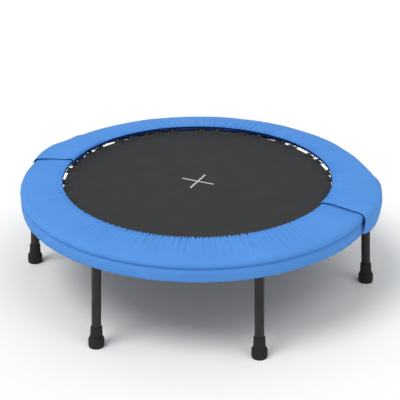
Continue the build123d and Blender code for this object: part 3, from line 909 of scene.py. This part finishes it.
FLAP_CLOTH = 0.0012
FLAP_CORNER = 0.006           # how much shorter the panel is at its near edge
FLAP_LIFTS = {"right": (0.0025, 0.0016), "left": (0.0005, 0.0025)}     # on top and at the inner edge
FLAP_BULGES = {"right": (0.003, 0.016, 0.0015), "left": (0.0, 0.0, 0.0025)}   # near edge, belly, sewn edge
FLAP_SQUARE_ANGLES = {"right": SQUARE_ANGLES, "left": (radians(1.6), radians(13.0))}
FLAP_FOLD_ANGLES = radians(2.0), radians(3.5)          # between the wire rings before the first
FLAP_EDGE_LIFT = 0.0015       # how much more the near edge stands off
FLAP_LOWEST = TAB_HIGH + 0.0004                        # the turned-down edge rests on the tabs
FLAP_FOLD_DROP = {"right": 0.0, "left": 0.007}         # and hangs lower at the fold, between the wire rings


def flap_angles(side):
    """The angles that the CAD flap spans; the right one lies across 0 degrees, so it starts below 0."""
    points = np.array([v.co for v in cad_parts[f"overlap_flap_{side}"].data.vertices])
    turns = np.arctan2(points[:, 1], points[:, 0]) % (2 * pi)
    turns = np.where(turns > 1.5 * pi, turns - 2 * pi, turns)
    return np.linspace(turns.min(), turns.max(), FLAP_COLUMNS)


def flap_outside(side, angles):
    """The loose panel's outside: over the cover's own shape, gathers and swelling, and bulging outwards."""
    share = np.linspace(0, 1, len(angles))             # from the near edge to the sewn one
    if side == "left":
        share = 1 - share
    near, most, sewn = FLAP_BULGES[side]
    belly = near * (1 - share) + (most - near / 2) * np.sin(pi * share ** 0.75)
    belly += sewn * smooth_step(share, 0.6, 0.93) * (1 - smooth_step(share, 0.955, 1)) + pushed_out(angles)
    at_hem = smooth_step(SEAM_AT - LINE_LENGTHS, -0.004, SEAM_AT)[:, None]
    at_lip = np.exp(-(np.minimum(LIP_AT - LINE_LENGTHS, 0.05) / 0.012) ** 2)[:, None]
    swell = np.maximum(swell_at("rear", angles), swell_at("front", angles % (2 * pi)))
    lift = swell + gathers(angles) + np.maximum(puckers(angles), -0.001)
    lift_on_top, lift_at_lip = FLAP_LIFTS[side]
    lift = lift + lift_on_top * (1 - at_lip) + lift_at_lip * at_lip + FLAP_CLOTH
    lift = lift + FLAP_EDGE_LIFT * (1 - smooth_step(share, 0, 0.25))
    plain = section_at(angles, FLAP_SQUARE_ANGLES[side])
    outside = plain + normals(plain) * lift[..., None]
    outside[..., 0] += belly * AT_SHOULDER * (1 - 0.2 * at_hem)
    outside[..., 1] += FLAP_CORNER * at_hem * (1 - smooth_step(share, 0, 0.2))
    hangs = FLAP_FOLD_DROP[side] * (1 - smooth_step(from_fold(angles), *FLAP_FOLD_ANGLES))
    outside[..., 1] -= AT_RETURN * hangs
    turn, end = outside[-2], outside[-1]               # the last stretch is cut off where it meets the tabs
    reach = (turn[:, 1] - FLAP_LOWEST + hangs) / (turn[:, 1] - end[:, 1])
    outside[-1] = turn + np.clip(reach, 0, 1)[:, None] * (end - turn)
    return outside


def overlap_panel(side):
    """A loose panel of cover cloth over the gap between the halves, sewn to the rear one."""
    angles = flap_angles(side)
    outside = flap_outside(side, angles)
    builder = Builder()
    top = shell(builder, outside, outside - FLAP_CLOTH * normals(outside), angles)
    # painted shade: the panel's rows under the inner edge take the lining's dark colour
    paint_shade_under_lip(builder, top)
    panel = builder.piece(f"overlap_panel_{side}", [COVER_BLUE, COVER_LINING_AND_PAINTED_SHADE])
    fix_normals(panel)
    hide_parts(f"overlap_flap_{side}")
    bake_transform(panel)


# --- floor and light ---
FLOOR_HALF = 40.0
SKY_COLOUR = (0.95, 0.98, 1, 1)
SKY_STRENGTH = 0.62
LAMP_COLOUR = (1, 0.985, 0.965)
LAMP_SPREAD = radians(30)     # for soft shadows
LAMPS = (("key", (-1.1, -1.95, 3.7), 1.45), ("fill", (2.0, -0.6, 3.4), 0.4))  # each shines at the middle


def make_floor_and_light():
    """A pale floor, an even sky, and two soft suns."""
    near, far = ([(x, y, 0.0) for x in (-FLOOR_HALF, FLOOR_HALF)] for y in (-FLOOR_HALF, FLOOR_HALF))
    builder = Builder()
    builder.grid(np.array([near, far]))
    builder.piece("floor", [floor_finish()])
    world = bpy.data.worlds.new("studio")
    bpy.context.scene.world = world
    world.use_nodes = True
    sky = world.node_tree.nodes["Background"].inputs
    sky["Color"].default_value = SKY_COLOUR
    sky["Strength"].default_value = SKY_STRENGTH
    for name, place, strength in LAMPS:
        lamp = bpy.data.lights.new(name, "SUN")
        lamp.angle = LAMP_SPREAD
        lamp.energy = strength
        lamp.color = LAMP_COLOUR
        light = bpy.data.objects.new(name, lamp)
        light.location = place
        light.rotation_euler = (-Vector(place)).to_track_quat("-Z", "Y").to_euler()
        bpy.context.scene.collection.objects.link(light)
    bpy.context.scene.view_settings.view_transform = "Standard"


make_floor_and_light()
mat_pieces()
for half_name in HALVES:
    tab_loops(half_name)
    ring_wires(half_name)
    coil_springs(half_name)
    padded_cover(half_name)
for side_name in ("right", "left"):
    overlap_panel(side_name)
